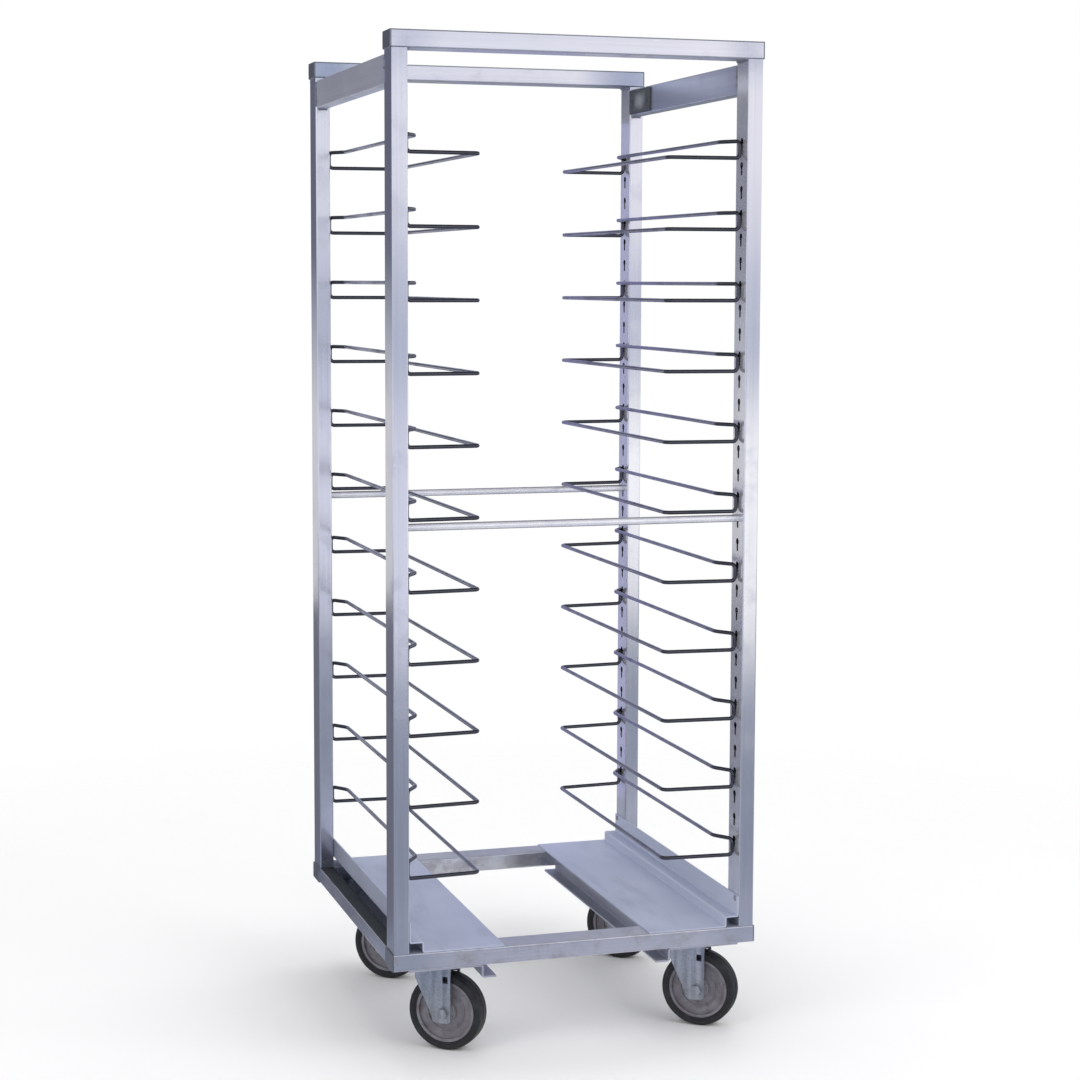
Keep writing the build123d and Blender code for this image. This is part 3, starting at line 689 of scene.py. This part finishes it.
hub_profile = mirrored([
    (BUSH_RADIUS, BOSS_HALF),
    (BOSS_RADIUS - BOSS_STEP, BOSS_HALF),
    (BOSS_RADIUS - BOSS_STEP, BOSS_HALF - BOSS_STEP_DROP),
    (BOSS_RADIUS, BOSS_HALF - BOSS_STEP_DROP),
    (BOSS_RADIUS, WEB_HALF),
    (RING_RADIUS - RING_WIDTH / 2, WEB_HALF),
    (RING_RADIUS - RING_WIDTH / 4, WEB_HALF + RING_RISE),
    (RING_RADIUS + RING_WIDTH / 4, WEB_HALF + RING_RISE),
    (RING_RADIUS + RING_WIDTH / 2, WEB_HALF),
    (RIM_RADIUS - RIM_LIP, WEB_HALF),
    (RIM_RADIUS - RIM_LIP, RIM_HALF),
    (RIM_RADIUS, RIM_HALF),
])


def hub_sockets(where):
    skin = even_grain(where, 1100.0, 2.0)
    flow = even_grain(where, 48.0, 3.0)
    dirt = even_grain(where, 90.0, 5.0).ramp(0.52, 0.72)
    plastic = blend(flow.ramp(0.3, 0.7), HUB_DARK, HUB_LIGHT)
    return {
        "Base Color": blend(dirt * 0.45, plastic, HUB_DIRT),
        "Roughness": 0.42 + dirt * 0.25 + skin * 0.06,
        "Normal": bumps(skin + flow, 0.00006, 0.5),
    }


hub_plastic = finish("hub_plastic", hub_sockets)
for corner in caster_corners:
    hub = wheel_piece(f"wheel_centre_{corner}", corner, hub_profile, HUB_EDGE, hub_plastic)
    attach(hub, f"caster_wheel_{corner}")
    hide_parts(f"caster_hub_{corner}")
print("wheel centres: rim", round(RIM_RADIUS, 4), "profile points", len(hub_profile))

# %% [markdown]
# ## Rivet heads
# A blind rivet has a low domed head with a small crater where its pin snapped off. It is another turned
# profile, open this time, because it starts and ends on the axle line itself. Each head lies on the flange
# or the plate that it holds, on the side that faces the middle of the rack. The soft aluminium of a rivet is
# brighter than the sheet round it, with a grey smear of dirt. The rivets at the top were painted over with
# their plates, so the finish turns to paint with height.

# %% Rivet heads
RIVET_HEAD = 0.0048
RIVET_RISE = 0.0022
RIVET_SHANK = 0.0024
RIVET_LENGTH = 0.0080
CRATER = 0.0013
CRATER_FLOOR = CRATER * 0.8
CRATER_DEPTH = 0.0008
DOME_STEPS = 8
PAN_SHEET = 0.0020
PAN_RIVET_DROP = 0.0060
PLATE_THICKNESS = 0.0030
PLATE_RIVET_EDGE = 0.0160
RIVET_METAL = (0.46, 0.46, 0.52, 1.0)
RIVET_DIRT = (0.20, 0.19, 0.20, 1.0)

dome = [(CRATER + (RIVET_HEAD - CRATER) * math.sin(angle), RIVET_RISE * math.cos(angle))
        for angle in quarter_turn(DOME_STEPS)]
rivet_profile = [
    (0.0, RIVET_RISE - CRATER_DEPTH),
    (CRATER_FLOOR, RIVET_RISE - CRATER_DEPTH),
    *dome,
    (RIVET_SHANK, 0.0),
    (RIVET_SHANK, -RIVET_LENGTH),
    (0.0, -RIVET_LENGTH),
]


def rivet_sockets(where):
    marks = even_grain(where, 700.0, 3.0)
    dirt = even_grain(where, 210.0, 4.0).ramp(0.48, 0.68)
    painted = component(where, "Z").ramp(plate_low.z - RIVET_HEAD, plate_low.z)
    return {
        "Base Color": blend(painted, blend(dirt * 0.6, RIVET_METAL, RIVET_DIRT), PAINT_DARK),
        "Metallic": (1.0 - dirt * 0.4) * (1.0 - painted),
        "Roughness": 0.34 + marks * 0.12 + dirt * 0.2,
        "Normal": bumps(marks, 0.00005, 0.6),
    }


pan_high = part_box("floor_pan_right")[1]
rivet_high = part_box("rivets")[1]
flange_rivet_y = rivet_high.y - RIVET_HEAD
flange_rivet_z = pan_high.z - PAN_RIVET_DROP
rivet_mesh = bmesh.new()
rivet_count = 0
for across in (-1, 1):
    inward = Vector((-across, 0, 0))
    flange = across * (pan_high.x - PAN_SHEET)
    plate = across * (plate_high.x - PLATE_THICKNESS)
    heads = [
        (flange, -flange_rivet_y, flange_rivet_z),
        (flange, flange_rivet_y, flange_rivet_z),
        (plate, plate_low.y + PLATE_RIVET_EDGE, plate_middle.z),
        (plate, plate_high.y - PLATE_RIVET_EDGE, plate_middle.z),
    ]
    for place in heads:
        turn(rivet_mesh, rivet_profile, Vector(place), inward, closed=False)
        rivet_count += 1
rivets = piece("rivet_heads", rivet_mesh, finish("rivet_aluminium", rivet_sockets))
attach(rivets, "frame")
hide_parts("rivets")
print("rivets:", rivet_count)

# %% [markdown]
# ## A weld bead
# The frame is welded where tube meets tube, and a weld isn't a clean corner: the torch lays down a bead of
# overlapping ripples. A bead here is a row of quarter rounds set along a corner, which swell and shrink
# every few millimetres and taper off at both ends. Each ring of points is joined to the one before it, and
# its first point is sunk a little into the corner. Weld is greyer and rougher than the tube, with patches of
# brown soot.

# %% A weld bead
BEAD_LEG = 0.0036
BEAD_STEP = 0.0006
BEAD_RIPPLE = 0.0030
BEAD_SWELL = 0.20
BEAD_ARC = 6
BEAD_SINK = 0.0004
BEAD_END = 0.5  # size at the very ends, as a share
BEAD_TAPER = 10.0  # growth from there, in sizes per length of the bead
WELD_GREY = (0.44, 0.44, 0.49, 1.0)
SOOT = (0.20, 0.18, 0.17, 1.0)


def bead(mesh, start, end, first, second):
    """Add a weld in the corner from start to end, reaching along two directions away from the corner."""
    length = (end - start).length
    count = int(length / BEAD_STEP)
    before = None
    for number in range(count + 1):
        share = number / count
        ripple = abs(math.sin(math.pi * share * length / BEAD_RIPPLE))
        taper = min(1.0, BEAD_END + BEAD_TAPER * share, BEAD_END + BEAD_TAPER * (1 - share))
        leg = BEAD_LEG * taper * (1 - BEAD_SWELL + BEAD_SWELL * ripple)
        corner = start.lerp(end, share)
        points = [corner - (first + second) * BEAD_SINK]
        for angle in quarter_turn(BEAD_ARC):
            points.append(corner + (first * math.cos(angle) + second * math.sin(angle)) * leg)
        ring = [mesh.verts.new(point) for point in points]
        if before is None:
            mesh.faces.new(ring)
        else:
            for here in range(len(ring)):
                after = (here + 1) % len(ring)
                mesh.faces.new((before[here], before[after], ring[after], ring[here]))
        before = ring
    mesh.faces.new(before)


def weld_sockets(where):
    ripples = even_grain(where, 420.0, 3.0)
    soot = even_grain(where, 150.0, 4.0).ramp(0.46, 0.66)
    return {
        "Base Color": blend(soot * 0.7, WELD_GREY, SOOT),
        "Metallic": 1.0 - soot * 0.3,
        "Roughness": 0.38 + ripples * 0.14 + soot * 0.15,
        "Normal": bumps(ripples, 0.00012, 0.6),
    }


print("a bead swells every", round(1000 * BEAD_RIPPLE, 1), "mm")

# %% [markdown]
# ## Welded corners
# The beads lie under the ends of the top rails and round the ends of the top side rails. The rack is the same
# to the left and the right, and nearly so to the front and the rear, so each bead is worked out once from the
# boxes of a post and a side rail and then laid with the signs of its corner. The dark plates cover the rear
# ends of the side rails on the inside, so there is no bead there.

# %% Welded corners
DOWN = Vector((0, 0, -1))
TUBE_CORNER = 0.0028

side_low, side_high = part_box("top_rail_right")
bead_mesh = bmesh.new()
bead_count = 0
for across in (-1, 1):
    out = Vector((across, 0, 0))
    for forward in (-1, 1):
        away = Vector((0, forward, 0))
        under = [Vector((across * post_low.x, forward * y, post_high.z))
                 for y in (post_low.y + TUBE_CORNER, post_high.y - TUBE_CORNER)]
        outer = [Vector((across * side_high.x, forward * post_low.y, z))
                 for z in (side_low.z + TUBE_CORNER, side_high.z - TUBE_CORNER)]
        inner = [Vector((across * side_low.x, point.y, point.z)) for point in outer]
        below = [Vector((across * x, forward * post_low.y, side_low.z))
                 for x in (side_low.x + TUBE_CORNER, side_high.x - TUBE_CORNER)]
        runs = [(under, -out, DOWN), (outer, out, -away), (below, DOWN, -away)]
        if forward < 0:
            runs.append((inner, -out, -away))
        for (start, end), first, second in runs:
            bead(bead_mesh, start, end, first, second)
            bead_count += 1
beads = piece("weld_beads", bead_mesh, finish("weld_bead_aluminium", weld_sockets))
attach(beads, "frame")
print("weld beads:", bead_count, "faces:", len(beads.data.polygons))

# %% [markdown]
# ## Floor
# The rack stands on a pale floor that takes its shadow. Seen from the camera, the floor would end in a grey
# horizon behind the rack, so its paint fades out with distance: a Mix Shader goes from the paint to nothing
# at all, and the white surroundings show through.

# %% Floor
FLOOR_COLOUR = (0.94, 0.94, 0.945, 1.0)
FLOOR_SOLID = 0.9
FLOOR_GONE = 2.6
FLOOR_SIZE = 12.0


def sheet_object(name, outline, material):
    """A flat sheet that belongs to the studio and not to the rack."""
    data = bpy.data.meshes.new(name)
    data.from_pydata(outline, [], [tuple(range(len(outline)))])
    made = bpy.data.objects.new(name, data)
    bpy.context.scene.collection.objects.link(made)
    dress(made, material)
    made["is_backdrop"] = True
    return made


def lying(x_low, x_high, y_low, y_high, z):
    """Outline of a level sheet."""
    return [(x_low, y_low, z), (x_high, y_low, z), (x_high, y_high, z), (x_low, y_high, z)]


floor_paint, start = empty_material("floor_paint")
flat = start.node("VectorMath", {"operation": "MULTIPLY"}, {0: places(start), 1: (1.0, 1.0, 0.0)})
far = start.node("VectorMath", {"operation": "LENGTH"}, {0: flat}, "Value").ramp(FLOOR_SOLID, FLOOR_GONE)
paint = start.node("BsdfDiffuse", {}, {"Color": FLOOR_COLOUR})
faded = start.node("MixShader", {}, {0: far, 1: paint, 2: start.node("BsdfTransparent")})
start.node("OutputMaterial", {}, {"Surface": faded})
sheet_object("floor", lying(-FLOOR_SIZE, FLOOR_SIZE, -FLOOR_SIZE, FLOOR_SIZE, 0.0), floor_paint)
print("floor fades from", FLOOR_SOLID, "to", FLOOR_GONE, "m")

# %% [markdown]
# ## Surroundings and lamps
# The world is white where it is seen, directly or in a reflection, and a little dimmer where it only lights.
# Three large lamps make up the rest, so that the wheels and the plastic get some shape and a colour renders
# about as it is written. The lamps are kept out of reflections, where they would burn white patches into
# the metal.

# %% Surroundings and lamps
WHITE = (1.0, 1.0, 1.0, 1.0)
SKY_LIGHT = 0.80
LAMP_SIZE = 2.6
LAMPS = {  # place in metres and power in watts
    "key": ((2.6, -3.4, 3.4), 60.0),
    "fill": ((-4.2, -2.2, 2.6), 36.0),
    "top": ((0.3, 0.9, 4.0), 28.0),
}
RACK_MIDDLE = Vector((0.0, 0.0, 0.8))

world = bpy.data.worlds.new("studio")
bpy.context.scene.world = world
world.use_nodes = True
world.node_tree.nodes.clear()
sky = Field(world.node_tree)
seen = sky.node("LightPath", output="Is Camera Ray").most(sky.node("LightPath", output="Is Glossy Ray"))
seen = seen.most(sky.node("LightPath", output="Is Transmission Ray"))
light = sky.node("Background", {}, {"Color": WHITE, "Strength": SKY_LIGHT + seen * (1 - SKY_LIGHT)})
sky.node("OutputWorld", {}, {"Surface": light})


def soft_lamp(name, place, power):
    """A large square lamp that faces the middle of the rack."""
    lamp = bpy.data.lights.new(name, "AREA")
    lamp.shape = "SQUARE"
    lamp.size = LAMP_SIZE
    lamp.energy = power
    made = bpy.data.objects.new(name, lamp)
    made.location = place
    made.rotation_euler = (RACK_MIDDLE - Vector(place)).to_track_quat("-Z", "Y").to_euler()
    made.visible_glossy = False
    bpy.context.scene.collection.objects.link(made)


for name, (place, power) in LAMPS.items():
    soft_lamp(name, place, power)
print("sky light", SKY_LIGHT, "and", len(LAMPS), "lamps")

# %% [markdown]
# ## Cards that only metal sees
# Bare metal has hardly any colour of its own: it shows what stands round it. So its tones are made the way a
# product photographer makes them, with walls and cards that are there for the reflections alone. A card
# glows with its own colour, and the camera, the shadows and the diffuse light pass it by. A colour ramp over
# the height paints each wall.

# %% Cards
ROOM_HEIGHT = 3.2


def standing(start, end, z_low, z_high):
    """Outline of an upright sheet on a line between two (x, y) points."""
    return [(*start, z_low), (*end, z_low), (*end, z_high), (*start, z_high)]


def card(name, outline, colour_at):
    """A sheet that only reflections see, with the colour that colour_at gives for a point of it."""
    material, field = empty_material(name)
    glow = field.node("Emission", {}, {"Color": colour_at(places(field)), "Strength": 1.0})
    field.node("OutputMaterial", {}, {"Surface": glow})
    made = sheet_object(name, outline, material)
    made.visible_camera = False
    made.visible_diffuse = False
    made.visible_shadow = False
    made.visible_transmission = False


def plain(colour):
    """One colour all over."""
    return lambda where: colour


def wall(left, right, change):
    """Colours of a wall: stops over its height, which change from left to right between two places."""

    def colour_at(where):
        height = component(where, "Z") * (1 / ROOM_HEIGHT)
        across = component(where, "X").ramp(*change)
        sides = []
        for stops in (left, right):
            shares = [(z / ROOM_HEIGHT, colour) for z, colour in stops]
            sides.append(where.node("ValToRGB", {"stops": shares}, {0: height}))
        return blend(across, *sides)

    return colour_at


print("walls are", ROOM_HEIGHT, "m high")

# %% [markdown]
# ## The room in the metal
# The posts show a pale wall in front with a grey band across it at chest height, a darker wall behind them on
# the left, a blue grey floor and a grey ceiling. That is why each post goes from light to grey to light and
# ends dark at its foot, and why each rounded edge on top is a thin grey line. The side walls repeat the front
# one, so that the metal has shape from all sides. One small bluish card close behind the rack lights the
# inner face of the right rear post and no other.

# %% The room in the metal
ROOM_FRONT = -3.9
ROOM_BACK = 5.0
ROOM_SIDE = 6.0
RACK_CLEAR = 0.36
CARD_LIFT = 0.003
FRONT_RIGHT_WALL = [
    (0.80, (1.20, 1.19, 1.18, 1.0)),
    (0.94, (0.46, 0.51, 0.64, 1.0)),
    (1.20, (0.50, 0.54, 0.67, 1.0)),
    (1.45, (0.99, 0.97, 1.03, 1.0)),
]
FRONT_LEFT_WALL = [
    (0.80, (0.84, 0.85, 0.97, 1.0)),
    *FRONT_RIGHT_WALL[1:3],
    (1.45, (0.92, 0.93, 1.01, 1.0)),
]
BACK_LEFT_WALL = [
    (0.75, (0.67, 0.66, 0.69, 1.0)),
    (1.00, (0.45, 0.47, 0.53, 1.0)),
    (1.35, (0.15, 0.16, 0.22, 1.0)),
    (1.70, (0.14, 0.145, 0.20, 1.0)),
]
BACK_RIGHT_WALL = [(0.40, (0.50, 0.54, 0.66, 1.0)), (2.40, (0.60, 0.64, 0.76, 1.0))]
FRONT_CHANGE = (0.9, 1.5)  # X between which a wall's left colours give way to its right ones
BACK_CHANGE = (-0.5, 0.2)
FLOOR_GREY = (0.29, 0.325, 0.41, 1.0)
FLOOR_DARK = (0.16, 0.165, 0.215, 1.0)
FLOOR_LEFT = (0.33, 0.355, 0.43, 1.0)
FLOOR_NEAR = (0.47, 0.49, 0.58, 1.0)
DARK_FROM = (0.2, 0.6)  # Y between which the floor on the left darkens
NEAR_FROM = (-1.3, -0.8)  # Y between which the floor in front grows paler
RIGHT_FROM = (-0.3, 0.1)  # X between which its left colour gives way to its right one
CEILING = (0.23, 0.24, 0.285, 1.0)
REAR_CARD = (0.37, 0.38, 0.60, 1.0)
REAR_CARD_Y = 0.60
REAR_CARD_SIDES = (0.03, 0.30)
REAR_CARD_HEIGHTS = (0.20, 1.56)


def by_depth(where):
    """Colours of the floor on the left: darker behind."""
    return blend(component(where, "Y").ramp(*DARK_FROM), FLOOR_GREY, FLOOR_DARK)


def by_nearness(where):
    """Colours of the floor in front: paler close to the rack, and most of all on its right."""
    near = blend(component(where, "X").ramp(*RIGHT_FROM), FLOOR_LEFT, FLOOR_NEAR)
    return blend(component(where, "Y").ramp(*NEAR_FROM), FLOOR_GREY, near)


front_left, front_right = (-ROOM_SIDE, ROOM_FRONT), (ROOM_SIDE, ROOM_FRONT)
back_left, back_right = (-ROOM_SIDE, ROOM_BACK), (ROOM_SIDE, ROOM_BACK)
rear_left, rear_right = ((x, REAR_CARD_Y) for x in REAR_CARD_SIDES)
front_wall = wall(FRONT_LEFT_WALL, FRONT_RIGHT_WALL, FRONT_CHANGE)
back_wall = wall(BACK_LEFT_WALL, BACK_RIGHT_WALL, BACK_CHANGE)
side_wall = wall(FRONT_LEFT_WALL, FRONT_LEFT_WALL, FRONT_CHANGE)
card("front_wall", standing(front_left, front_right, 0.0, ROOM_HEIGHT), front_wall)
card("back_wall", standing(back_left, back_right, 0.0, ROOM_HEIGHT), back_wall)
card("left_wall", standing(front_left, back_left, 0.0, ROOM_HEIGHT), side_wall)
card("right_wall", standing(front_right, back_right, 0.0, ROOM_HEIGHT), side_wall)
card("front_floor", lying(-ROOM_SIDE, ROOM_SIDE, ROOM_FRONT, -RACK_CLEAR, CARD_LIFT), by_nearness)
card("back_floor", lying(-RACK_CLEAR, RACK_CLEAR, RACK_CLEAR, ROOM_BACK, CARD_LIFT), plain(FLOOR_GREY))
card("left_floor", lying(-ROOM_SIDE, -RACK_CLEAR, -RACK_CLEAR, ROOM_BACK, CARD_LIFT), by_depth)
card("right_floor", lying(RACK_CLEAR, ROOM_SIDE, -RACK_CLEAR, ROOM_BACK, CARD_LIFT), plain(FLOOR_GREY))
card("ceiling", lying(-ROOM_SIDE, ROOM_SIDE, ROOM_FRONT, ROOM_BACK, ROOM_HEIGHT), plain(CEILING))
card("rear_card", standing(rear_left, rear_right, *REAR_CARD_HEIGHTS), plain(REAR_CARD))
print("cards: four walls, four floors, a ceiling and one behind the rack")

# %% [markdown]
# ## Camera
# The rack is seen from its front, seventeen degrees to the left of straight on and a little above its middle,
# through a lens of medium length. The camera's axes are worked out from those angles: it looks along its own
# -Z, its X points right in the picture and its Y up. A fraction of a degree of roll is in the picture too,
# and a small shift of the lens, which keeps the posts as nearly upright as they are in the picture.

# %% Camera
AZIMUTH = math.radians(-17.140)
PITCH = math.radians(-5.418)
ROLL = math.radians(0.191)
CAMERA_PLACE = Vector((-1.1375, -3.7839, 1.2487))
SENSOR_WIDTH = 36.0
FOCAL_LENGTH = 77.085
CENTRE_RISE = 40 / 1080  # as a share of the picture's width

level = math.cos(PITCH)
ahead = Vector((-math.sin(AZIMUTH) * level, math.cos(AZIMUTH) * level, math.sin(PITCH)))
right = Vector((math.cos(AZIMUTH), math.sin(AZIMUTH), 0.0))
up = right.cross(ahead)
tilted_right = right * math.cos(ROLL) + up * math.sin(ROLL)
tilted_up = up * math.cos(ROLL) - right * math.sin(ROLL)
lens = bpy.data.cameras.new("camera")
lens.sensor_fit = "HORIZONTAL"
lens.sensor_width = SENSOR_WIDTH
lens.lens = FOCAL_LENGTH
lens.shift_y = -CENTRE_RISE
camera = bpy.data.objects.new("camera", lens)
bpy.context.scene.collection.objects.link(camera)
turned = Matrix((tilted_right, tilted_up, -ahead)).transposed().to_4x4()
camera.matrix_world = Matrix.Translation(CAMERA_PLACE) @ turned
bpy.context.scene.camera = camera
bpy.context.scene.view_settings.view_transform = "Standard"
print("camera at", [round(value, 3) for value in camera.matrix_world.translation])

# %% [markdown]
# ## Last look
# The finished picture's box is compared with the box of the solids it was made on.

# %% Compare the boxes and finish
final_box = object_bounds()
growth = [(final_box[1] - final_box[0])[axis] - (solid_box[1] - solid_box[0])[axis] for axis in range(3)]
print("growth over the solids, in mm:", [round(1000 * value, 2) for value in growth])
